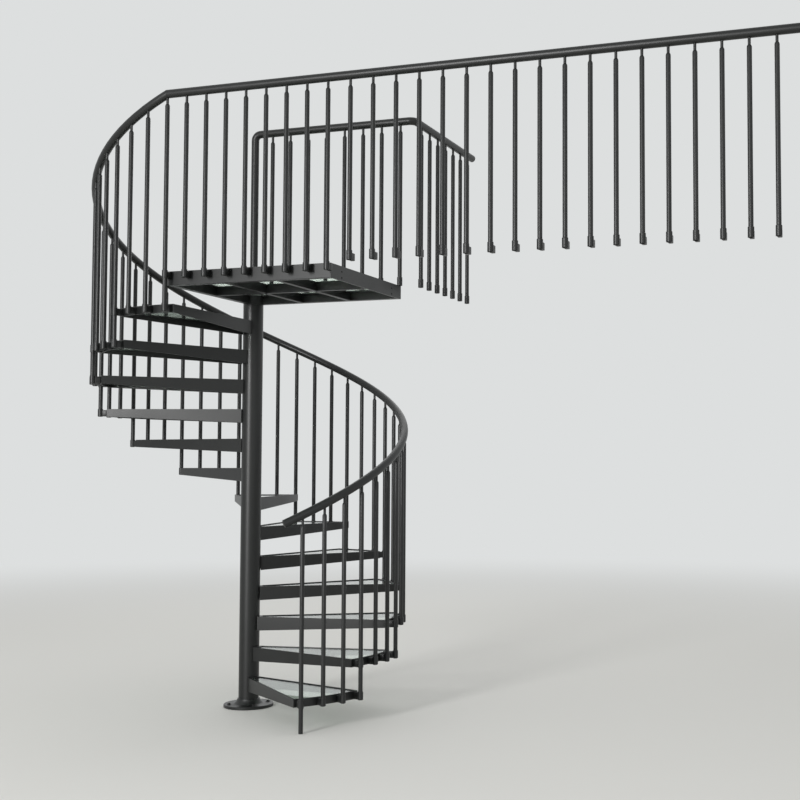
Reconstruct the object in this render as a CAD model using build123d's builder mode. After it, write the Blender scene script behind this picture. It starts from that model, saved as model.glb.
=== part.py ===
from build123d import *
import os
from math import atan, cos, degrees, radians, sin, tan

# Spiral stair in powder-coated steel with glass treads, a square glass landing and its guard rails.
# Millimetres. The origin is on the floor at the column's axis, +Z is up, and +X runs along the
# straight rail of the landing. Seen from above, the stair climbs counter-clockwise.

# Rise and turn
floor_to_floor = 2710.0
riser_count = 14
tread_angle = 24.0
first_tread_angle = -42.0

# Plan: the circle that the balusters and the handrail stand on
rail_radius = 1000.0

# Column: one tube on a round base flange, with a sloped collar round the weld
column_diameter = 130.0
column_wall = 5.0
weld_gap = 0.3
flange_diameter = 318.0
flange_thickness = 18.0
collar_base_diameter = 196.0
collar_height = 34.0
collar_top_step = 6.0
anchor_circle = 256.0
anchor_count = 4
anchor_hole_diameter = 14.0

# Treads: a saddle at the column, two tapered side bars and a bent outer bar, with glass let in
side_bar_thickness = 10.0
side_bar_inner_depth = 86.0
saddle_length = 20.0
outer_bar_depth = 46.0
outer_bar_thickness = 10.0
glass_thickness = 22.0
glass_recess = 5.0
glass_clearance = 1.0
ledge_width = 14.0
ledge_thickness = 5.0

# Balusters: a bar with a thin neck under the rail, held by cups with a block that reaches inwards
bar_sides = 6
bar_diameter = 27.0
neck_diameter = 16.0
neck_length = 45.0
cup_diameter = 34.0
cup_height = 48.0
block_reach = 50.0
block_width = 24.0
block_height = 42.0
bars_per_tread = 3
seat_gap = 0.3
foot_height = 55.0

# Handrail
handrail_diameter = 50.0
first_rail_height = 1078.0
landing_rail_height = 1050.0
rail_lead = 110.0
rail_end_bevel = 7.0

# Landing and the rails that run on from it
landing_length = 1055.0
landing_bars = 8
balcony_bars = 19
balcony_bar_spacing = 139.85
rail_overhang = 70.0
landing_depth_of_beam = 84.0
beam_width = 40.0
grid_bar_width = 30.0
landing_columns = 3
landing_rows = 2
pane_joint = 4.0
wall_plate_thickness = 10.0
plate_hole_diameter = 12.0
plate_hole_spacing = 690.0
plate_hole_row_spacing = 36.0
plate_hole_height = 34.0

# Guard rail round the landing's open corner, on a cap that closes the column
guard_rail_height = 1060.0
guard_bend = 40.0
guard_bend_count = 3
guard_corner = 1150.0
guard_return = 1047.0
guard_return_first_bar = 120.0
guard_return_spacing = 138.0
guard_return_bars = 7
cap_thickness = 8.0

# Worked out from the sizes above
riser = floor_to_floor / riser_count
tread_count = riser_count - 1
column_radius = column_diameter / 2
saddle_radius = column_radius + weld_gap
glass_seat = glass_recess + glass_thickness
glass_inner = saddle_radius + saddle_length + glass_clearance
last_tread_angle = first_tread_angle + tread_count * tread_angle
bar_pitch = tread_angle / bars_per_tread
outer_bar_radius = rail_radius - block_reach
rail_start_height = riser + first_rail_height
rail_end_height = floor_to_floor + landing_rail_height
rail_rise_per_degree = (rail_end_height - rail_start_height) / (last_tread_angle - first_tread_angle)
rail_slope = atan(degrees(rail_rise_per_degree) / rail_radius)
neck_reach = neck_diameter / 2 / cos(radians(180 / bar_sides))
rail_drop_at_bar = handrail_diameter / 2 / cos(rail_slope) + neck_reach * tan(rail_slope) + seat_gap
stair_bars = tread_count * bars_per_tread
rail_start_angle = first_tread_angle - degrees(rail_lead / rail_radius)
guard_height = floor_to_floor + guard_rail_height
landing_bar_spacing = (landing_length + seat_gap) / landing_bars
landing_front = -outer_bar_radius
balcony_first_x = landing_bars * landing_bar_spacing + balcony_bar_spacing
rail_end_x = balcony_first_x + (balcony_bars - 1) * balcony_bar_spacing + rail_overhang

os.makedirs("parts", exist_ok=True)


def save(part, name):
    """Label a finished piece and write its file."""
    part.label = name
    export_step(part, f"parts/{name}.step")


def polar(radius, angle):
    """Point on the floor at a radius and an angle round the column."""
    return radius * cos(radians(angle)), radius * sin(radians(angle))


def rail_height_at(angle):
    """Height of the handrail's centre over the floor at an angle round the column."""
    return rail_start_height + rail_rise_per_degree * (angle - first_tread_angle)


# Column: the flange's plate, the collar and the tube up to the landing, with four anchor holes
with BuildPart() as column:
    with BuildSketch(Plane.XZ):
        with BuildLine():
            Polyline(
                (0, 0),
                (flange_diameter / 2, 0),
                (flange_diameter / 2, flange_thickness),
                (collar_base_diameter / 2, flange_thickness),
                (column_radius + collar_top_step, flange_thickness + collar_height),
                (column_radius, flange_thickness + collar_height),
                (column_radius, floor_to_floor),
                (column_radius - column_wall, floor_to_floor),
                (column_radius - column_wall, flange_thickness),
                (0, flange_thickness),
                close=True,
            )
        make_face()
    revolve(axis=Axis.Z)
    with BuildSketch():
        with PolarLocations(anchor_circle / 2, anchor_count, start_angle=360 / anchor_count / 2):
            Circle(anchor_hole_diameter / 2)
    extrude(amount=flange_thickness, mode=Mode.SUBTRACT)
save(column.part, "column")


def side_bar(angle, inward):
    """Tapered bar and glass ledge of one side of a tread, with the tread's top at height 0."""
    x_dir = (cos(radians(angle)), sin(radians(angle)), 0)
    plane = Plane(origin=(0, 0, 0), x_dir=x_dir, z_dir=(sin(radians(angle)), -cos(radians(angle)), 0))
    bar_end = outer_bar_radius - outer_bar_thickness / 2
    with BuildPart() as made:
        with BuildSketch(plane):
            with BuildLine():
                Polyline(
                    (column_radius / 2, 0),
                    (bar_end, 0),
                    (bar_end, -outer_bar_depth),
                    (column_radius / 2, -side_bar_inner_depth),
                    close=True,
                )
            make_face()
        extrude(amount=-inward * side_bar_thickness)
        with BuildSketch(plane.offset(-inward * side_bar_thickness / 2)):
            with BuildLine():
                Polyline(
                    (column_radius, -glass_seat),
                    (bar_end, -glass_seat),
                    (bar_end, -glass_seat - ledge_thickness),
                    (column_radius, -glass_seat - ledge_thickness),
                    close=True,
                )
            make_face()
        extrude(amount=-inward * (side_bar_thickness / 2 + ledge_width))
    return made.part


def band(inner, outer, top, depth):
    """Flat bar across a tread between two radii, bent a little at each baluster."""
    angles = [index * bar_pitch for index in range(bars_per_tread + 1)]
    corners = [polar(inner, angle) for angle in angles] + [polar(outer, angle) for angle in reversed(angles)]
    with BuildPart() as made:
        with BuildSketch(Plane.XY.offset(top - depth)):
            with BuildLine():
                Polyline(*corners, close=True)
            make_face()
        extrude(amount=depth)
    return made.part


# Tread frame: the saddle, the two side bars and the outer bar with its ledge
outer_bar_inside = outer_bar_radius - outer_bar_thickness
with BuildPart() as tread_frame:
    add(side_bar(0, 1))
    add(side_bar(tread_angle, -1))
    add(band(outer_bar_inside, outer_bar_radius, 0, outer_bar_depth))
    add(band(outer_bar_inside - ledge_width, outer_bar_inside, -glass_seat, ledge_thickness))
    add(band(column_radius, saddle_radius + saddle_length, 0, outer_bar_depth))
    with BuildSketch(Plane.XY.offset(-side_bar_inner_depth)):
        Circle(saddle_radius)
    extrude(amount=side_bar_inner_depth, mode=Mode.SUBTRACT)

# Glass panel of a tread: a wedge between the two side bars, let into the frame just below its top
with BuildPart() as tread_glass:
    add(band(glass_inner, outer_bar_inside - glass_clearance, -glass_recess, glass_thickness))
    with BuildSketch(Plane.XY.offset(-glass_seat)):
        for angle in (0, tread_angle):
            with Locations(Location((0, 0, 0), (0, 0, angle))):
                Rectangle(2 * outer_bar_radius, 2 * (side_bar_thickness + glass_clearance))
    extrude(amount=glass_thickness, mode=Mode.SUBTRACT)

glass_panels = []
for step in range(1, tread_count + 1):
    start = first_tread_angle + (step - 1) * tread_angle
    top = step * riser
    save(tread_frame.part.moved(Location((0, 0, top), (0, 0, start))), f"tread_frame_{step:02d}")
    glass_panels.append(tread_glass.part.moved(Location((0, 0, top), (0, 0, start))))
with BuildPart() as tread_glass_panels:
    add(glass_panels)
save(tread_glass_panels.part, "tread_glass_panels")


def bar(place, low, high, cups, block=True):
    """Upright bar from low to high, with a neck at its top, and cups with blocks that reach inwards."""
    lengths = [(low, high - neck_length, bar_diameter), (high - neck_length, high, neck_diameter)]
    lengths += [(cup_low, cup_high, cup_diameter) for cup_low, cup_high in cups]
    with BuildPart() as made:
        for bottom, top, across in lengths:
            with BuildSketch(Plane.XY.offset(bottom)):
                RegularPolygon(across / 2, bar_sides, major_radius=False, rotation=180 / bar_sides)
            extrude(amount=top - bottom)
        if block:
            for cup_low, cup_high in cups:
                with BuildSketch(Plane.XY.offset(cup_low)):
                    Rectangle(block_reach - seat_gap, block_width, align=(Align.MAX, Align.CENTER))
                extrude(amount=block_height)
    return made.part.moved(place)


def cup_under(top):
    """Bottom and top of a cup that ends flush with the top of a tread or of the landing."""
    return top - cup_height, top


# Stair balusters: each tread carries the bar at its leading corner, which also ties it to the tread
# below, and the bars between its corners. The first bar of the first tread stands on the floor.
for step in range(1, tread_count + 1):
    bars = []
    for index in range(bars_per_tread):
        angle = first_tread_angle + (step - 1) * tread_angle + index * bar_pitch
        place = Location((*polar(rail_radius, angle), 0), (0, 0, angle))
        cups = [cup_under(step * riser)]
        low = cups[0][0]
        if index == 0 and step == 1:
            low = 0
        elif index == 0:
            cups.append(cup_under((step - 1) * riser))
            low = cups[1][0]
        bars.append(bar(place, low, rail_height_at(angle) - rail_drop_at_bar, cups))
    with BuildPart() as tread_balusters:
        add(bars)
    save(tread_balusters.part, f"tread_balusters_{step:02d}")

# Landing balusters: the corner bar reaches down to the last tread, the others end in their cups
landing_cup = cup_under(floor_to_floor)
straight_top = rail_end_height - handrail_diameter / 2 - seat_gap
corner_x, corner_y = polar(rail_radius, last_tread_angle)
corner_cups = [cup_under(tread_count * riser), landing_cup]
corner_place = Location((corner_x, corner_y, 0), (0, 0, last_tread_angle))
landing_row = [bar(corner_place, corner_cups[0][0], rail_end_height - rail_drop_at_bar, corner_cups)]
for index in range(1, landing_bars + 1):
    place = Location((index * landing_bar_spacing, -rail_radius, 0), (0, 0, last_tread_angle))
    landing_row.append(bar(place, landing_cup[0], straight_top, [landing_cup]))
with BuildPart() as landing_balusters:
    add(landing_row)
save(landing_balusters.part, "landing_balusters")

# Balcony balusters: the same cups and blocks stand on the upper floor
foot_cup = (floor_to_floor, floor_to_floor + foot_height)
balcony_row = []
for index in range(balcony_bars):
    balcony_x = balcony_first_x + index * balcony_bar_spacing
    place = Location((balcony_x, -rail_radius, 0), (0, 0, last_tread_angle))
    balcony_row.append(bar(place, floor_to_floor, straight_top, [foot_cup]))
with BuildPart() as balcony_balusters:
    add(balcony_row)
save(balcony_balusters.part, "balcony_balusters")


def tube_along(points, free_end):
    """Round rail along a chain of points, mitred where two lengths meet, with one bevelled end."""
    with BuildPart() as made:
        with BuildLine() as path:
            Polyline(*points)
        with BuildSketch(Plane(points[0], z_dir=path.line % 0)):
            Circle(handrail_diameter / 2)
        sweep(path=path.line, transition=Transition.RIGHT)
        chamfer(made.faces().sort_by_distance(free_end)[0].edges(), rail_end_bevel)
    return made.part


# Helical handrail: short lengths from baluster to baluster, as far as the landing's corner
rail_angles = [rail_start_angle] + [first_tread_angle + index * bar_pitch for index in range(stair_bars + 1)]
rail_points = [Vector(*polar(rail_radius, angle), rail_height_at(angle)) for angle in rail_angles]
corner = rail_points[-1]
last_heading = (corner - rail_points[-2]).normalized()
mitre = Plane(corner, z_dir=last_heading + Vector(1, 0, 0))
rail_points[-1] = corner + last_heading * handrail_diameter
at_mitre = (Align.CENTER, Align.CENTER, Align.MIN)
with BuildPart() as handrail_helical:
    add(tube_along(rail_points, rail_points[0]))
    with Locations(mitre):
        Box(*[4 * handrail_diameter] * 3, align=at_mitre, mode=Mode.SUBTRACT)
save(handrail_helical.part, "handrail_helical")

# Straight handrail: over the landing's edge and on over the upper floor
with BuildPart() as handrail_straight:
    with BuildSketch(Plane.YZ.offset(-handrail_diameter)):
        with Locations((-rail_radius, rail_end_height)):
            Circle(handrail_diameter / 2)
    extrude(amount=rail_end_x + handrail_diameter)
    split(bisect_by=mitre, keep=Keep.TOP)
    chamfer(handrail_straight.faces().sort_by(Axis.X)[-1].edges(), rail_end_bevel)
save(handrail_straight.part, "handrail_straight")


def bend_points(corner_point, heading, next_heading):
    """Ends of the short lengths that turn the guard rail through a right angle."""
    center = Vector(corner_point) - Vector(heading) * guard_bend + Vector(next_heading) * guard_bend
    turns = [radians(90 * length / guard_bend_count) for length in range(guard_bend_count + 1)]
    return [
        center - Vector(next_heading) * guard_bend * cos(turn) + Vector(heading) * guard_bend * sin(turn)
        for turn in turns
    ]


# Guard rail: a cap and post on the column, bent over the landing's back edge and round its corner
guard_start = Vector(0, 0, floor_to_floor + cap_thickness)
guard_end = Vector(guard_corner, guard_return, guard_height)
guard_points = [guard_start]
guard_points += bend_points((0, 0, guard_height), (0, 0, 1), (1, 0, 0))
guard_points += bend_points((guard_corner, 0, guard_height), (1, 0, 0), (0, 1, 0))
guard_points.append(guard_end)
with BuildPart() as guard_rail:
    add(tube_along(guard_points, guard_end))
    with BuildSketch(Plane.XY.offset(floor_to_floor)):
        Circle(column_radius)
    extrude(amount=cap_thickness)
save(guard_rail.part, "guard_rail")

# Guard balusters: along the landing's back edge, and along the return on the upper floor
guard_top = guard_height - handrail_diameter / 2 - seat_gap
edge_row = []
for index in range(1, landing_bars + 1):
    place = Location((index * landing_bar_spacing, 0, 0))
    edge_row.append(bar(place, floor_to_floor, guard_top, [foot_cup], block=False))
with BuildPart() as guard_balusters_edge:
    add(edge_row)
save(guard_balusters_edge.part, "guard_balusters_edge")
return_row = []
for index in range(guard_return_bars):
    place = Location((guard_corner, guard_return_first_bar + index * guard_return_spacing, 0))
    return_row.append(bar(place, floor_to_floor, guard_top, [foot_cup], block=False))
with BuildPart() as guard_balusters_return:
    add(return_row)
save(guard_balusters_return.part, "guard_balusters_return")


# Landing frame: a curved saddle, deep beams on three sides and a grid that carries the glass
half_beam = beam_width / 2
frame_end = landing_length - wall_plate_thickness
inner_x = (half_beam, frame_end)
inner_y = (landing_front + beam_width, -half_beam)
cell_x = (inner_x[1] - inner_x[0]) / landing_columns
cell_y = (inner_y[1] - inner_y[0]) / landing_rows
beam_low = floor_to_floor - landing_depth_of_beam
glass_low = floor_to_floor - glass_seat
with BuildPart() as landing_frame:
    with BuildSketch(Plane.XY.offset(beam_low)):
        with Locations((-half_beam, landing_front)):
            Rectangle(frame_end + half_beam, beam_width, align=(Align.MIN, Align.MIN))
            Rectangle(beam_width, half_beam - landing_front, align=(Align.MIN, Align.MIN))
        with Locations((-half_beam, -half_beam)):
            Rectangle(frame_end + half_beam, beam_width, align=(Align.MIN, Align.MIN))
        Circle(saddle_radius + saddle_length)
        with Locations((-half_beam, -half_beam)):
            Rectangle(4 * column_radius, 4 * column_radius, align=(Align.MAX, Align.CENTER), mode=Mode.SUBTRACT)
        with Locations((-half_beam, half_beam)):
            Rectangle(4 * column_radius, 4 * column_radius, align=(Align.MIN, Align.MIN), mode=Mode.SUBTRACT)
    extrude(amount=landing_depth_of_beam)
    with BuildSketch(Plane.XY.offset(beam_low)):
        for index in range(1, landing_columns):
            with Locations((inner_x[0] + index * cell_x, inner_y[0])):
                Rectangle(grid_bar_width, inner_y[1] - inner_y[0], align=(Align.CENTER, Align.MIN))
        for index in range(1, landing_rows):
            with Locations((inner_x[0], inner_y[0] + index * cell_y)):
                Rectangle(inner_x[1] - inner_x[0], grid_bar_width, align=(Align.MIN, Align.CENTER))
    extrude(amount=glass_low - beam_low)
    with BuildSketch(Plane.XY.offset(glass_low - ledge_thickness)):
        with Locations((inner_x[0], inner_y[0])):
            Rectangle(inner_x[1] - inner_x[0], inner_y[1] - inner_y[0], align=(Align.MIN, Align.MIN))
        with Locations((inner_x[0] + ledge_width, inner_y[0] + ledge_width)):
            Rectangle(
                inner_x[1] - inner_x[0] - 2 * ledge_width,
                inner_y[1] - inner_y[0] - 2 * ledge_width,
                align=(Align.MIN, Align.MIN),
                mode=Mode.SUBTRACT,
            )
    extrude(amount=ledge_thickness)
    with BuildSketch(Plane.XY.offset(beam_low)):
        Circle(saddle_radius)
    extrude(amount=landing_depth_of_beam, mode=Mode.SUBTRACT)
save(landing_frame.part, "landing_frame")

# Landing glass: one pane in each cell of the grid, cut away round the column at the corner
with BuildPart() as landing_glass_panes:
    with BuildSketch(Plane.XY.offset(glass_low)):
        for column in range(landing_columns):
            for row in range(landing_rows):
                center = (inner_x[0] + (column + 0.5) * cell_x, inner_y[0] + (row + 0.5) * cell_y)
                with Locations(center):
                    Rectangle(cell_x - pane_joint, cell_y - pane_joint)
        Circle(glass_inner, mode=Mode.SUBTRACT)
    extrude(amount=glass_thickness)
save(landing_glass_panes.part, "landing_glass_panes")

# Wall plate: closes the landing's frame at the upper floor's edge, where it is bolted on
plate_middle = (landing_front + half_beam) / 2
with BuildPart() as landing_wall_plate:
    with BuildSketch(Plane.YZ.offset(frame_end)):
        with Locations((landing_front, beam_low)):
            Rectangle(half_beam - landing_front, landing_depth_of_beam, align=(Align.MIN, Align.MIN))
        with Locations((plate_middle, beam_low + plate_hole_height)):
            with GridLocations(plate_hole_spacing, plate_hole_row_spacing, 2, 2):
                Circle(plate_hole_diameter / 2, mode=Mode.SUBTRACT)
    extrude(amount=wall_plate_thickness)
save(landing_wall_plate.part, "landing_wall_plate")
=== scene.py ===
from math import asin, atan, cos, degrees, pi, radians, sin

import bmesh
import bpy
from mathutils import Matrix, Vector


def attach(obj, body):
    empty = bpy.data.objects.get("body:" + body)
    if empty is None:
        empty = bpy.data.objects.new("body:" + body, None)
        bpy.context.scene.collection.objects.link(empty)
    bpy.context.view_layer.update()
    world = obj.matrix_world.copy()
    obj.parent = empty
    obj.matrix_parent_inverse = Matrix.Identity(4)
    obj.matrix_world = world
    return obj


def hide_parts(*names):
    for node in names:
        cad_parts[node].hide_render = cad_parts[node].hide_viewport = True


# Spiral stair with glass treads, a glass landing and rails of powder-coated steel. Metres, in the
# model's own frame: the floor is z = 0, the column's axis is z, and the straight rail runs along +X.
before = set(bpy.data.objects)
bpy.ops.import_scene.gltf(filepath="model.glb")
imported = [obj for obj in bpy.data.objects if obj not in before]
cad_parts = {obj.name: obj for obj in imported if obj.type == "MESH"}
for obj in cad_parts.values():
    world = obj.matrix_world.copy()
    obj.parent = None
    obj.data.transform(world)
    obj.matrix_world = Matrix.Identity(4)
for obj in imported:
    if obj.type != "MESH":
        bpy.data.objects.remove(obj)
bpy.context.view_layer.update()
bpy.ops.object.select_all(action="DESELECT")


# Studio
# A plain pale floor that fades into a pale sky all round, one tall soft lamp in front, to the left of
# the camera, and weaker ones to the right and behind. The camera stands where the photograph's did.
def colour_of(code):
    """Linear colour of an sRGB hex code such as d8d8d4."""
    channels = [int(code[place:place + 2], 16) / 255 for place in (0, 2, 4)]
    return [c / 12.92 if c <= 0.04045 else ((c + 0.055) / 1.055) ** 2.4 for c in channels] + [1.0]


def add_node(tree, kind, links=None, **settings):
    """Add a node, set its fields and inputs, and link inputs from other nodes' outputs."""
    node = tree.nodes.new(kind)
    for key, value in settings.items():
        if key in node.inputs:
            node.inputs[key].default_value = value
        else:
            setattr(node, key, value)
    for key, source in (links or {}).items():
        tree.links.new(source, node.inputs[key])
    return node


def seen_directly(tree):
    """Output that is 1 for rays that the camera sees straight, mirrored or through glass."""
    rays = add_node(tree, "ShaderNodeLightPath").outputs
    straight = {0: rays["Is Camera Ray"], 1: rays["Is Transmission Ray"]}
    seen = add_node(tree, "ShaderNodeMath", straight, operation="MAXIMUM")
    mirrored = {0: seen.outputs[0], 1: rays["Is Glossy Ray"]}
    return add_node(tree, "ShaderNodeMath", mirrored, operation="MAXIMUM").outputs[0]


floor_reach = 60.0
floor_gap = 0.001
fade_start = 4.0
fade_end = 14.0
sky_colour = "dddfdf"
floor_colour = "d2d2ce"
bpy.ops.mesh.primitive_plane_add(size=2 * floor_reach, location=(0, 0, -floor_gap))
floor = bpy.context.object
floor.name = "studio_floor"
floor_paint = bpy.data.materials.new("studio_floor_paint")
floor_paint.use_nodes = True
ground = floor_paint.node_tree
floor_shader = ground.nodes["Principled BSDF"]
floor_shader.inputs["Base Color"].default_value = colour_of(floor_colour)
floor_shader.inputs["Roughness"].default_value = 0.9
spot = add_node(ground, "ShaderNodeTexCoord")
distance = add_node(ground, "ShaderNodeVectorMath", {0: spot.outputs["Object"]}, operation="LENGTH")
fade = add_node(ground, "ShaderNodeMapRange", {"Value": distance.outputs["Value"]},
                interpolation_type="SMOOTHSTEP")
fade.inputs["From Min"].default_value = fade_start
fade.inputs["From Max"].default_value = fade_end
share = add_node(ground, "ShaderNodeMath", {0: fade.outputs["Result"], 1: seen_directly(ground)},
                 operation="MULTIPLY")
haze = add_node(ground, "ShaderNodeEmission", Color=colour_of(sky_colour), Strength=1.0)
blend = add_node(ground, "ShaderNodeMixShader",
                 {0: share.outputs[0], 1: floor_shader.outputs[0], 2: haze.outputs[0]})
ground.links.new(blend.outputs[0], ground.nodes["Material Output"].inputs["Surface"])
floor.data.materials.append(floor_paint)

world = bpy.data.worlds.new("studio_sky")
bpy.context.scene.world = world
world.use_nodes = True
sky = world.node_tree
sky.nodes.clear()
lighting = add_node(sky, "ShaderNodeBackground", Color=colour_of("ffffff"), Strength=0.7)
backdrop = add_node(sky, "ShaderNodeBackground", Color=colour_of(sky_colour), Strength=1.0)
chosen = add_node(sky, "ShaderNodeMixShader",
                  {0: seen_directly(sky), 1: lighting.outputs[0], 2: backdrop.outputs[0]})
add_node(sky, "ShaderNodeOutputWorld", {"Surface": chosen.outputs[0]})

middle_of_stair = Vector((0.6, -0.2, 1.6))
for name, place, width, height, power in (
    ("key_lamp", (-1.8, -12.4, 4.1), 2.2, 5.2, 1080),
    ("fill_lamp", (6.5, -5.5, 4.5), 5.0, 5.0, 40),
    ("back_lamp", (-2.0, 6.5, 6.0), 5.0, 5.0, 90),
):
    bpy.ops.object.light_add(type="AREA", location=place)
    lamp = bpy.context.object
    lamp.name = name
    lamp.data.shape = "RECTANGLE"
    lamp.data.size = width
    lamp.data.size_y = height
    lamp.data.energy = power
    lamp.rotation_euler = (middle_of_stair - Vector(place)).to_track_quat("-Z", "Y").to_euler()

image_width = 800
focal_pixels = 1251.68
optical_axis = 540.17
camera_place = (4.3218, -7.2911, 1.5504)
camera_tilt = 93.094
camera_turn = 17.687
bpy.ops.object.camera_add(location=camera_place,
                          rotation=(radians(camera_tilt), 0, radians(camera_turn)))
camera = bpy.context.object
camera.name = "photograph_view"
camera.data.sensor_width = 36.0
camera.data.lens = focal_pixels / image_width * camera.data.sensor_width
camera.data.shift_x = (image_width / 2 - optical_axis) / image_width
bpy.context.scene.camera = camera
bpy.context.scene.view_settings.view_transform = "Standard"


# Column
# A steel tube welded on a round base flange with a sloped collar round the weld, all powder-coated
# satin charcoal. Four anchor bolts with washers hold the flange to the floor.
def open_piece(name, scale=(1, 1, 1)):
    """Name and scale the primitive just added, put its place into its mesh and go into edit mode."""
    piece = bpy.context.object
    piece.name = name
    piece.scale = scale
    bpy.ops.object.transform_apply()
    bpy.ops.object.mode_set(mode="EDIT")
    return piece


def close_piece():
    """Merge doubles, turn all faces outwards and leave edit mode."""
    bpy.ops.mesh.select_all(action="SELECT")
    bpy.ops.mesh.remove_doubles(threshold=0.00001)
    bpy.ops.mesh.normals_make_consistent(inside=False)
    bpy.ops.object.mode_set(mode="OBJECT")


def extruded(move):
    """Extrude the selected faces by a move."""
    bpy.ops.mesh.extrude_region_move(TRANSFORM_OT_translate={"value": move})


def turned(name, sides, rings, axis=(0, 0)):
    """Round upright piece, extruded ring by ring; each ring is its radius and its height."""
    radius, height = rings[0]
    bpy.ops.mesh.primitive_circle_add(vertices=sides, radius=radius, fill_type="NGON",
                                      location=(*axis, height))
    piece = open_piece(name)
    for next_radius, next_height in rings[1:]:
        extruded((0, 0, next_height - height))
        grow = next_radius / radius
        bpy.ops.transform.resize(value=(grow, grow, 1), center_override=(*axis, next_height))
        radius, height = next_radius, next_height
    close_piece()
    return piece


def copied(piece, name, move):
    """Copy of a piece with its own mesh, moved in that mesh."""
    twin = piece.copy()
    twin.data = piece.data.copy()
    twin.name = name
    twin.data.transform(move)
    bpy.context.collection.objects.link(twin)
    return twin


def shift(x, y, z):
    """Matrix of a move."""
    return Matrix.Translation((x, y, z))


def turn(angle):
    """Matrix of a turn round the column, counter-clockwise from above, in degrees."""
    return Matrix.Rotation(radians(angle), 4, "Z")


def joined(pieces, name):
    """Join pieces into one object of that name."""
    bpy.ops.object.select_all(action="DESELECT")
    for piece in pieces:
        piece.select_set(True)
    bpy.context.view_layer.objects.active = pieces[0]
    bpy.ops.object.join()
    pieces[0].name = name
    pieces[0].data.name = name
    return pieces[0]


sharp_angle = 35


def finished(piece, material, nodes=(), bevel=0.0):
    """Round the sharp edges, shade, paint, and fix the piece to the model's body."""
    bpy.ops.object.select_all(action="DESELECT")
    piece.select_set(True)
    bpy.context.view_layer.objects.active = piece
    if bevel:
        rounding = piece.modifiers.new("rounded_edges", "BEVEL")
        rounding.width = bevel
        rounding.segments = 2
        rounding.limit_method = "ANGLE"
        rounding.angle_limit = radians(sharp_angle)
        bpy.ops.object.modifier_apply(modifier=rounding.name)
    bpy.ops.object.shade_smooth_by_angle(angle=radians(sharp_angle))
    if bevel:
        evening = piece.modifiers.new("flat_faces_stay_flat", "WEIGHTED_NORMAL")
        evening.keep_sharp = True
        bpy.ops.object.modifier_apply(modifier=evening.name)
    piece.data.materials.clear()
    piece.data.materials.append(material)
    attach(piece, "root")
    if nodes:
        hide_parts(*nodes)


# Polyester powder coat on steel: satin charcoal, a plastic film over the metal, so not metallic.
# Its orange peel is about 1.5 mm across; drawn at 5 mm so that it shows.
orange_peel = 0.005
coat = bpy.data.materials.new("satin_charcoal_powder_coat")
coat.use_nodes = True
paint = coat.node_tree
shader = paint.nodes["Principled BSDF"]
shader.inputs["IOR"].default_value = 1.47
place = add_node(paint, "ShaderNodeTexCoord")
peel = add_node(paint, "ShaderNodeTexNoise", {"Vector": place.outputs["Object"]},
                Scale=1 / orange_peel, Detail=2.0)
bump = add_node(paint, "ShaderNodeBump", {"Height": peel.outputs["Fac"]}, Strength=0.12, Distance=0.0004)
paint.links.new(bump.outputs["Normal"], shader.inputs["Normal"])
cloud = add_node(paint, "ShaderNodeTexNoise", {"Vector": place.outputs["Object"]}, Scale=3.0, Detail=5.0)
tone = add_node(paint, "ShaderNodeMix", {"Factor": cloud.outputs["Fac"]}, data_type="RGBA")
tone.inputs["A"].default_value = colour_of("0d0e0e")
tone.inputs["B"].default_value = colour_of("181a19")
paint.links.new(tone.outputs["Result"], shader.inputs["Base Color"])
wear = add_node(paint, "ShaderNodeMapRange", {"Value": cloud.outputs["Fac"]})
wear.inputs["To Min"].default_value = 0.32
wear.inputs["To Max"].default_value = 0.46
paint.links.new(wear.outputs["Result"], shader.inputs["Roughness"])

floor_to_floor = 2.71
column_radius = 0.065
flange_radius = 0.159
flange_thickness = 0.018
anchor_circle_radius = 0.128
column_sides = 72
column_tube = turned("column_tube", column_sides, [
    (flange_radius - 0.002, 0),
    (flange_radius, 0.002),
    (flange_radius, flange_thickness - 0.003),
    (flange_radius - 0.003, flange_thickness),
    (0.098, flange_thickness),
    (0.090, flange_thickness + 0.005),
    (0.079, flange_thickness + 0.016),
    (0.073, flange_thickness + 0.028),
    (0.071, flange_thickness + 0.034),
    (column_radius, flange_thickness + 0.036),
    (column_radius, 0.7),
    (column_radius, 1.5),
    (column_radius, floor_to_floor),
])
finished(column_tube, coat, ["column"])

# Hexagon heads on round washers, zinc-plated and painted over with the flange
anchor = turned("anchor_head", 6, [
    (0.0105, flange_thickness + 0.002),
    (0.0105, flange_thickness + 0.0095),
    (0.0085, flange_thickness + 0.0115),
])
washer = turned("anchor_washer", 20, [
    (0.0145, flange_thickness),
    (0.0145, flange_thickness + 0.0018),
    (0.0135, flange_thickness + 0.0024),
])
anchor = joined([anchor, washer], "anchor_bolt")
anchors = []
for corner in (45, 135, 225, 315):
    anchors.append(copied(anchor, "anchor_bolt", turn(corner) @ shift(anchor_circle_radius, 0, 0)))
bpy.data.objects.remove(anchor)
finished(joined(anchors, "anchor_bolts"), coat)


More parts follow.
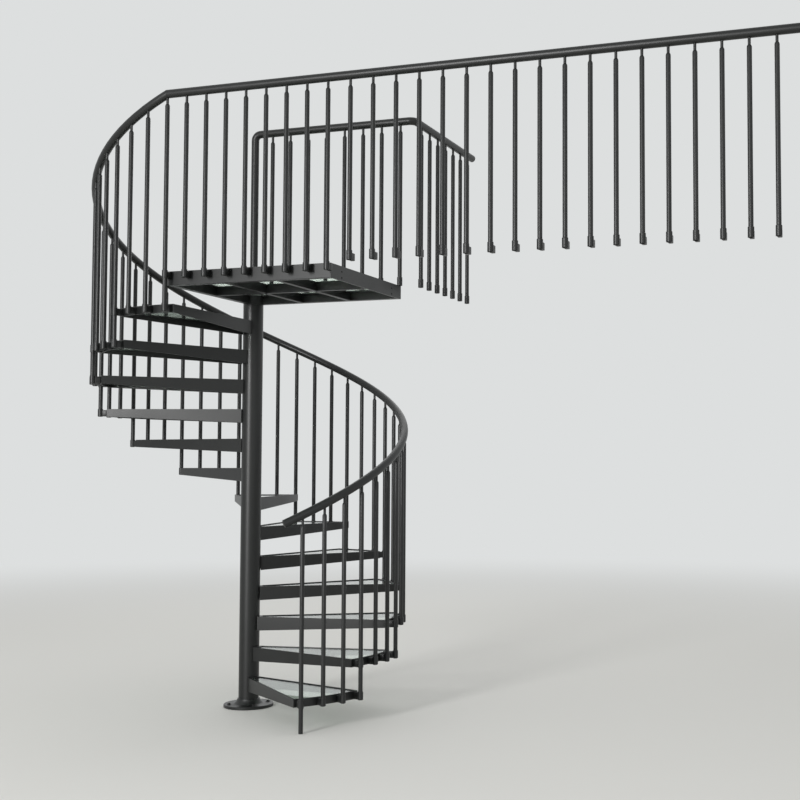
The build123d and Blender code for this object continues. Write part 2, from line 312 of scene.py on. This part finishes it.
# Tread frames
# Flat steel welded into a frame: two side bars that get shallower outwards, a saddle at the column, a
# rolled bar at the rim and thin ledges for the glass. The side bars lie outside the radial lines.
riser_count = 14
riser = floor_to_floor / riser_count
rail_radius = 1.0
block_reach = 0.050
tread_count = riser_count - 1
tread_angle = 24.0
first_tread_angle = -42.0
side_bar_thickness = 0.010
side_bar_inner_depth = 0.090
side_bar_offset = 0.028
outer_bar_radius = rail_radius - block_reach
outer_bar_depth = 0.050
outer_bar_thickness = 0.010
outer_bar_lap = degrees(asin(side_bar_offset / outer_bar_radius))
saddle_radius = column_radius + 0.0003
saddle_length = 0.020
saddle_depth = 0.046
saddle_lap = degrees(asin(side_bar_offset / (saddle_radius + saddle_length)))
ledge_width = 0.014
ledge_thickness = 0.005
outer_ledge_lap = 1.0
saddle_ledge_gap = 8.0
glass_thickness = 0.022
glass_recess = 0.005
glass_seat = glass_recess + glass_thickness
ledge_underside = -glass_seat - ledge_thickness
into_weld = 0.001
edge_rounding = 0.0012
arc_steps = 8


def pick(test):
    """Select the vertices of the mesh in edit mode whose place passes the test."""
    bpy.ops.mesh.select_mode(type="VERT")
    bpy.ops.mesh.select_all(action="DESELECT")
    mesh = bmesh.from_edit_mesh(bpy.context.object.data)
    for vertex in mesh.verts:
        if test(vertex.co):
            vertex.select_set(True)
    mesh.select_flush_mode()
    bmesh.update_edit_mesh(bpy.context.object.data)


def block(name, low, high):
    """Box between two corners, left in edit mode."""
    size = [b - a for a, b in zip(low, high)]
    middle = [(a + b) / 2 for a, b in zip(low, high)]
    bpy.ops.mesh.primitive_cube_add(size=1, location=middle)
    return open_piece(name, size)


def rolled(name, inner, outer, low, high, lap, angle=tread_angle, steps=arc_steps):
    """Flat bar rolled round the column from angle 0, longer by a lap at each end."""
    bpy.ops.mesh.primitive_plane_add(size=1, location=((inner + outer) / 2, 0, (low + high) / 2),
                                     rotation=(pi / 2, 0, 0))
    piece = open_piece(name, (outer - inner, high - low, 1))
    # A spin turns clockwise
    bpy.ops.mesh.spin(steps=steps, angle=-radians(angle + 2 * lap), center=(0, 0, 0), axis=(0, 0, 1))
    close_piece()
    piece.data.transform(turn(-lap))
    return piece


bar_end = outer_bar_radius - outer_bar_thickness / 2
side_bar_inside = side_bar_thickness - side_bar_offset
side_bar = block("side_bar", (saddle_radius - into_weld, -side_bar_offset, -outer_bar_depth),
                 (bar_end, side_bar_inside, 0))
pick(lambda co: co.x < 2 * saddle_radius and co.z < -outer_bar_depth / 2)
bpy.ops.transform.translate(value=(0, 0, outer_bar_depth - side_bar_inner_depth))
close_piece()
ledge = block("side_ledge",
              (saddle_radius + saddle_length / 2, side_bar_inside - into_weld, ledge_underside),
              (bar_end, side_bar_inside + ledge_width, -glass_seat))
close_piece()
rim_inside = outer_bar_radius - outer_bar_thickness
rim = rolled("outer_bar", rim_inside, outer_bar_radius, -outer_bar_depth, 0, outer_bar_lap)
rim_ledge = rolled("outer_ledge", rim_inside - ledge_width, rim_inside + into_weld,
                   ledge_underside, -glass_seat, outer_ledge_lap)
saddle_end = saddle_radius + saddle_length
saddle = rolled("saddle", saddle_radius, saddle_end, -saddle_depth, 0, saddle_lap)
saddle_ledge = rolled("saddle_ledge", saddle_end - into_weld, saddle_end + ledge_width,
                      ledge_underside, -glass_seat, saddle_lap - saddle_ledge_gap)
far_bar = copied(side_bar, "far_bar",
                 turn(tread_angle) @ shift(0, 2 * side_bar_offset - side_bar_thickness, 0))
far_ledge = copied(ledge, "far_ledge",
                   turn(tread_angle) @ shift(0, into_weld - 2 * side_bar_inside - ledge_width, 0))
frame_pattern = joined([side_bar, far_bar, ledge, far_ledge, rim, rim_ledge, saddle, saddle_ledge],
                       "tread_frame")


def up_to(step):
    """Matrix that takes a piece from angle 0 on the floor to its place on a tread."""
    return shift(0, 0, step * riser) @ turn(first_tread_angle + (step - 1) * tread_angle)


for step in range(1, tread_count + 1):
    tread = copied(frame_pattern, f"tread_steelwork_{step:02d}", up_to(step))
    finished(tread, coat, [f"tread_frame_{step:02d}"], bevel=edge_rounding)
bpy.data.objects.remove(frame_pattern)


# Tread glass
# A wedge of laminated safety glass, two sheets of 11 mm, lies on each frame's ledges a little below
# its top. The faces are clear with a green cast; the ground edges look darker green.
glass_clearance = 0.001
glass_arris = 0.001
glass_inner = saddle_end + glass_clearance
glass_outer = rim_inside - glass_clearance


def glass(name, code, roughness):
    """Soda-lime float glass, IOR 1.52; the iron in it tints it green."""
    made = bpy.data.materials.new(name)
    made.use_nodes = True
    surface = made.node_tree.nodes["Principled BSDF"]
    surface.inputs["Base Color"].default_value = colour_of(code)
    surface.inputs["Roughness"].default_value = roughness
    surface.inputs["IOR"].default_value = 1.52
    surface.inputs["Transmission Weight"].default_value = 1.0
    return made


clear_glass = glass("float_glass_face", "e1eee3", 0.02)
ground_glass = glass("float_glass_ground_edge", "3f9a7c", 0.35)


def glazed(piece, nodes):
    """Take off the pane's sharp edges; the flat faces get clear glass and the edges ground glass."""
    finished(piece, clear_glass, nodes, bevel=glass_arris)
    piece.data.materials.append(ground_glass)
    for face in piece.data.polygons:
        face.material_index = 0 if abs(face.normal.z) > 0.9 else 1


pane = rolled("tread_pane", glass_inner, glass_outer, -glass_seat, -glass_recess, saddle_lap)
bpy.context.view_layer.objects.active = pane
bpy.ops.object.mode_set(mode="EDIT")
inset = side_bar_inside + glass_clearance
for angle, side in ((0, 1), (tread_angle, -1)):
    inward = Vector((-sin(radians(angle)) * side, cos(radians(angle)) * side, 0))
    bpy.ops.mesh.select_all(action="SELECT")
    bpy.ops.mesh.bisect(plane_co=inward * inset, plane_no=inward, use_fill=True, clear_inner=True)
close_piece()
panes = [copied(pane, "tread_pane", up_to(step)) for step in range(1, tread_count + 1)]
bpy.data.objects.remove(pane)
glazed(joined(panes, "tread_glass"), ["tread_glass_panels"])


# Balusters
# Round steel bars with a shoulder turned down to a thin neck that is welded under the rail. Short
# cups hold them; a block behind each cup is screwed to a tread's rim, the landing or the floor.
bar_radius = 0.0135
neck_radius = 0.008
neck_length = 0.045
cup_radius = 0.017
cup_height = 0.048
cup_rounding = 0.0015
block_width = 0.024
block_height = 0.042
block_rounding = 0.003
foot_height = 0.055
bars_per_tread = 3
below_cup = 0.002
handrail_radius = 0.025
rail_above_first_tread = 1.078
rail_above_landing = 1.05
rail_start_height = riser + rail_above_first_tread
rail_end_height = floor_to_floor + rail_above_landing
last_tread_angle = first_tread_angle + tread_count * tread_angle
rise_per_degree = (rail_end_height - rail_start_height) / (last_tread_angle - first_tread_angle)
into_rail = 0.010
bar_top_at_landing = rail_end_height - handrail_radius + into_rail
bar_sides = 20
pattern_length = 1.0
bar_pattern = turned("bar_pattern", bar_sides, [
    (bar_radius - 0.001, 0),
    (bar_radius, 0.001),
    (bar_radius, pattern_length - neck_length - 0.013),
    (0.0129, pattern_length - neck_length - 0.0085),
    (0.0113, pattern_length - neck_length - 0.0042),
    (0.0094, pattern_length - neck_length - 0.0013),
    (neck_radius, pattern_length - neck_length),
    (neck_radius, pattern_length),
])


def bar(place, low, high):
    """Baluster from low to high: the pattern with its shoulder and neck moved up or down."""
    made = copied(bar_pattern, "bar", shift(0, 0, 0))
    for vertex in made.data.vertices:
        if vertex.co.z > pattern_length / 2:
            vertex.co.z += high - low - pattern_length
    made.data.transform(shift(*place, low))
    return made


def cup(place, low, high, inwards=None):
    """Cup round a bar; at an angle inwards, with the block that ties it to what it stands on."""
    rings = [
        (cup_radius - cup_rounding, low),
        (cup_radius, low + cup_rounding),
        (cup_radius, high - cup_rounding),
        (cup_radius - cup_rounding, high),
        (bar_radius - 0.001, high),
    ]
    made = [turned("cup", bar_sides, rings, place)]
    if inwards is not None:
        tie = block("block", (bar_radius, -block_width / 2, low),
                    (block_reach, block_width / 2, low + block_height))
        bpy.ops.mesh.select_all(action="SELECT")
        bpy.ops.mesh.bevel(offset=block_rounding, segments=2, affect="EDGES")
        close_piece()
        tie.data.transform(shift(*place, 0) @ turn(inwards))
        made.append(tie)
    return made


def around(radius, angle):
    """Point at a radius and an angle round the column."""
    return radius * cos(radians(angle)), radius * sin(radians(angle))


def rail_height_at(angle):
    """Height of the handrail's centre at an angle round the column."""
    return rail_start_height + rise_per_degree * (angle - first_tread_angle)


for step in range(1, tread_count + 1):
    made = []
    for index in range(bars_per_tread):
        angle = first_tread_angle + (step - 1 + index / bars_per_tread) * tread_angle
        place = around(rail_radius, angle)
        tops = [step * riser]
        if index == 0 and step > 1:
            tops.append((step - 1) * riser)
        # The very first bar stands on the floor
        low = 0 if index == 0 and step == 1 else tops[-1] - cup_height - below_cup
        made.append(bar(place, low, rail_height_at(angle) - handrail_radius + into_rail))
        for top in tops:
            made += cup(place, top - cup_height, top, angle + 180)
    finished(joined(made, f"stair_bars_{step:02d}"), coat, [f"tread_balusters_{step:02d}"])

landing_length = 1.055
landing_bars = 8
landing_spacing = (landing_length + 0.0003) / landing_bars
corner_place = around(rail_radius, last_tread_angle)
last_tread = tread_count * riser
made = [bar(corner_place, last_tread - cup_height - below_cup, bar_top_at_landing)]
for top in (last_tread, floor_to_floor):
    made += cup(corner_place, top - cup_height, top, 90)
for index in range(1, landing_bars + 1):
    place = (index * landing_spacing, -rail_radius)
    made.append(bar(place, floor_to_floor - cup_height - below_cup, bar_top_at_landing))
    made += cup(place, floor_to_floor - cup_height, floor_to_floor, 90)
finished(joined(made, "landing_bars"), coat, ["landing_balusters"])

balcony_bars = 19
balcony_spacing = 0.13985
balcony_first = landing_bars * landing_spacing + balcony_spacing
made = []
for index in range(balcony_bars):
    place = (balcony_first + index * balcony_spacing, -rail_radius)
    made.append(bar(place, floor_to_floor, bar_top_at_landing))
    made += cup(place, floor_to_floor, floor_to_floor + foot_height, 90)
finished(joined(made, "balcony_bars"), coat, ["balcony_balusters"])

guard_above_landing = 1.06
guard_height = floor_to_floor + guard_above_landing
guard_corner = 1.15
guard_return = 1.047
return_bars = 7
return_first = 0.120
return_spacing = 0.138
guard_top = guard_height - handrail_radius + into_rail
edge_places = [(index * landing_spacing, 0) for index in range(1, landing_bars + 1)]
return_places = [(guard_corner, return_first + index * return_spacing) for index in range(return_bars)]
for name, node, places in (("guard_edge_bars", "guard_balusters_edge", edge_places),
                           ("guard_return_bars", "guard_balusters_return", return_places)):
    made = []
    for place in places:
        made.append(bar(place, floor_to_floor, guard_top))
        made += cup(place, floor_to_floor, floor_to_floor + foot_height)
    finished(joined(made, name), coat, [node])
bpy.data.objects.remove(bar_pattern)


# Handrail
# Round steel tube rolled to the stair's helix, mitred and welded to a straight tube at the landing's
# corner. The free end is closed with a domed plug.
rail_sides = 32
rail_lead = 0.11
rail_slope = atan(degrees(rise_per_degree) / rail_radius)
rail_start_angle = first_tread_angle - degrees(rail_lead / rail_radius)
spare_turn = 6.0
helix_steps = 84
plug_rim = 0.004
plug_dome = 0.007
end_dome = 0.002
helix_start = rail_start_angle - spare_turn
helix_turn = last_tread_angle + spare_turn - helix_start
bpy.ops.mesh.primitive_circle_add(vertices=rail_sides, radius=handrail_radius, rotation=(pi / 2, 0, 0),
                                  location=(rail_radius, 0, 0))
helix = open_piece("handrail_helix")
bpy.ops.transform.resize(value=(1, 1, 1 / cos(rail_slope)), center_override=(rail_radius, 0, 0))
bpy.ops.object.mode_set(mode="OBJECT")
rolling = helix.modifiers.new("rolling", "SCREW")
rolling.angle = radians(helix_turn)
rolling.screw_offset = rise_per_degree * helix_turn
rolling.steps = rolling.render_steps = helix_steps
bpy.ops.object.modifier_apply(modifier=rolling.name)
helix.data.transform(shift(0, 0, rail_height_at(helix_start)) @ turn(helix_start))


def heading_at(angle):
    """Direction in which the helical rail climbs at an angle round the column."""
    x, y = around(cos(rail_slope), angle + 90)
    return Vector((x, y, sin(rail_slope)))


def plugged(dome_height):
    """Close the tube's free end, whose face is selected, with a plug that has a rim and a low dome."""
    bpy.ops.mesh.inset(thickness=plug_rim, depth=plug_rim)
    bpy.ops.mesh.inset(thickness=plug_dome, depth=dome_height)


rail_start = Vector((*around(rail_radius, rail_start_angle), rail_height_at(rail_start_angle)))
rail_corner = Vector((*corner_place, rail_end_height))
mitre = (heading_at(last_tread_angle) + Vector((1, 0, 0))).normalized()
near_end = 0.25
bpy.ops.object.mode_set(mode="EDIT")
pick(lambda co: (co - rail_start).length < near_end)
bpy.ops.mesh.bisect(plane_co=rail_start, plane_no=heading_at(rail_start_angle), use_fill=True,
                    clear_inner=True)
plugged(end_dome)
pick(lambda co: (co - rail_corner).length < near_end)
bpy.ops.mesh.bisect(plane_co=rail_corner, plane_no=mitre, clear_outer=True)
close_piece()
finished(helix, coat, ["handrail_helical"])

rail_overhang = 0.070
plug_height = 0.005
before_corner = 0.05
rail_end_x = balcony_first + (balcony_bars - 1) * balcony_spacing + rail_overhang
bpy.ops.mesh.primitive_circle_add(vertices=rail_sides, radius=handrail_radius, fill_type="NGON",
                                  location=(-before_corner, -rail_radius, rail_end_height),
                                  rotation=(0, pi / 2, 0))
straight = open_piece("handrail_tube")
extruded((rail_end_x - plug_height + before_corner, 0, 0))
plugged(0.001)
bpy.ops.mesh.select_all(action="SELECT")
bpy.ops.mesh.bisect(plane_co=rail_corner, plane_no=mitre, clear_inner=True)
close_piece()
finished(straight, coat, ["handrail_straight"])


# Guard rail
# The column's cap carries a post that bends over the landing's back edge and then round its corner
# onto the upper floor. It is the same round tube, bent cold, with a plug in its free end.
guard_bend = 0.040
guard_plug_height = 0.006
cap_thickness = 0.008
post_low = floor_to_floor + into_weld
bpy.ops.mesh.primitive_circle_add(vertices=rail_sides, radius=handrail_radius, fill_type="NGON",
                                  location=(0, 0, post_low))
guard = open_piece("guard_tube")
extruded((0, 0, guard_height - guard_bend - post_low))
for centre, axis, length in (
    ((guard_bend, 0, guard_height - guard_bend), (0, 1, 0), (guard_corner - 2 * guard_bend, 0, 0)),
    ((guard_corner - guard_bend, guard_bend, guard_height), (0, 0, 1),
     (0, guard_return - guard_bend - guard_plug_height, 0)),
):
    bpy.ops.mesh.spin(steps=8, angle=-pi / 2, center=centre, axis=axis)
    extruded(length)
plugged(end_dome)
close_piece()
cap = turned("column_cap", column_sides, [
    (column_radius, floor_to_floor),
    (column_radius, floor_to_floor + cap_thickness - 0.002),
    (column_radius - 0.002, floor_to_floor + cap_thickness),
    (handrail_radius + 0.004, floor_to_floor + cap_thickness),
    (handrail_radius, floor_to_floor + cap_thickness + 0.004),
])
finished(joined([guard, cap], "guard_rail_tube"), coat, ["guard_rail"])


# Landing
# Deep steel beams on three sides and a grid of narrower bars, welded to a saddle at the column, carry
# six panes of the same glass. A plate on the fourth side is bolted to the upper floor's edge.
beam_width = 0.040
beam_depth = 0.084
grid_bar_width = 0.030
landing_columns = 3
landing_rows = 2
pane_joint = 0.004
plate_thickness = 0.010
beam_rounding = 0.0015
saddle_turn = 118.0
saddle_start = -104.0
half_beam = beam_width / 2
beam_low = floor_to_floor - beam_depth
glass_low = floor_to_floor - glass_seat
ledge_low = glass_low - ledge_thickness
frame_end = landing_length - plate_thickness
landing_front = -outer_bar_radius
into_saddle = saddle_radius + 0.005
past_saddle = 0.08
inside_x = (half_beam, frame_end)
inside_y = (landing_front + beam_width, -half_beam)
cell_x = (inside_x[1] - inside_x[0]) / landing_columns
cell_y = (inside_y[1] - inside_y[0]) / landing_rows
boxes = [
    ("front_beam", (-half_beam, landing_front, beam_low), (frame_end, inside_y[0], floor_to_floor)),
    ("left_beam", (-half_beam, inside_y[0], beam_low), (half_beam, -into_saddle, floor_to_floor)),
    ("back_beam", (into_saddle, -half_beam, beam_low), (frame_end, half_beam, floor_to_floor)),
    ("front_ledge", (half_beam, inside_y[0] - into_weld, ledge_low),
     (frame_end, inside_y[0] + ledge_width, glass_low)),
    ("left_ledge", (half_beam - into_weld, inside_y[0], ledge_low),
     (half_beam + ledge_width, -past_saddle, glass_low)),
    ("back_ledge", (past_saddle, inside_y[1] - ledge_width, ledge_low),
     (frame_end, inside_y[1] + into_weld, glass_low)),
    ("plate_ledge", (frame_end - ledge_width, inside_y[0], ledge_low), (frame_end, inside_y[1], glass_low)),
]
for index in range(1, landing_columns):
    x = inside_x[0] + index * cell_x
    boxes.append(("cross_bar", (x - grid_bar_width / 2, inside_y[0], beam_low),
                  (x + grid_bar_width / 2, inside_y[1], glass_low)))
for index in range(1, landing_rows):
    y = inside_y[0] + index * cell_y
    boxes.append(("long_bar", (inside_x[0], y - grid_bar_width / 2, beam_low),
                  (inside_x[1], y + grid_bar_width / 2, glass_low)))
made = []
for name, low, high in boxes:
    made.append(block(name, low, high))
    close_piece()
landing_saddle = rolled("landing_saddle", saddle_radius, saddle_end, beam_low, floor_to_floor, 0,
                        angle=saddle_turn, steps=20)
landing_saddle.data.transform(turn(saddle_start))
made.append(landing_saddle)
finished(joined(made, "landing_steelwork"), coat, ["landing_frame"], bevel=beam_rounding)

made = []
for across in range(landing_columns):
    for along in range(landing_rows):
        x = inside_x[0] + across * cell_x
        y = inside_y[0] + along * cell_y
        low = (x + pane_joint / 2, y + pane_joint / 2, glass_low)
        high = (x + cell_x - pane_joint / 2, y + cell_y - pane_joint / 2, floor_to_floor - glass_recess)
        made.append(block("landing_pane", low, high))
        close_piece()
panes = joined(made, "landing_glass")
cutter_spare = 0.05
round_cut = turned("round_cut", 64, [
    (glass_inner, glass_low - cutter_spare),
    (glass_inner, floor_to_floor + cutter_spare),
])
cutting = panes.modifiers.new("round_cut", "BOOLEAN")
cutting.object = round_cut
cutting.operation = "DIFFERENCE"
bpy.context.view_layer.objects.active = panes
bpy.ops.object.modifier_apply(modifier=cutting.name)
bpy.data.objects.remove(round_cut)
glazed(panes, ["landing_glass_panes"])

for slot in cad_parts["landing_wall_plate"].material_slots:
    slot.material = coat

# Hexagon bolts with washers go through the plate from inside the frame
half_bolt_spacing = 0.345
half_row_spacing = 0.018
rows_above_edge = 0.034
plate_middle = (landing_front + half_beam) / 2
rows_middle = beam_low + rows_above_edge
bolt = joined([
    turned("plate_bolt", 6, [(0.0095, 0.002), (0.0095, 0.0085), (0.0078, 0.0102)]),
    turned("plate_washer", 20, [(0.0120, 0), (0.0120, 0.0018), (0.0112, 0.0024)]),
], "plate_bolt")
inwards = Matrix.Rotation(-pi / 2, 4, "Y")
bolts = []
for y in (plate_middle - half_bolt_spacing, plate_middle + half_bolt_spacing):
    for z in (rows_middle - half_row_spacing, rows_middle + half_row_spacing):
        bolts.append(copied(bolt, "plate_bolt", shift(frame_end, y, z) @ inwards))
bpy.data.objects.remove(bolt)
finished(joined(bolts, "plate_bolts"), coat)
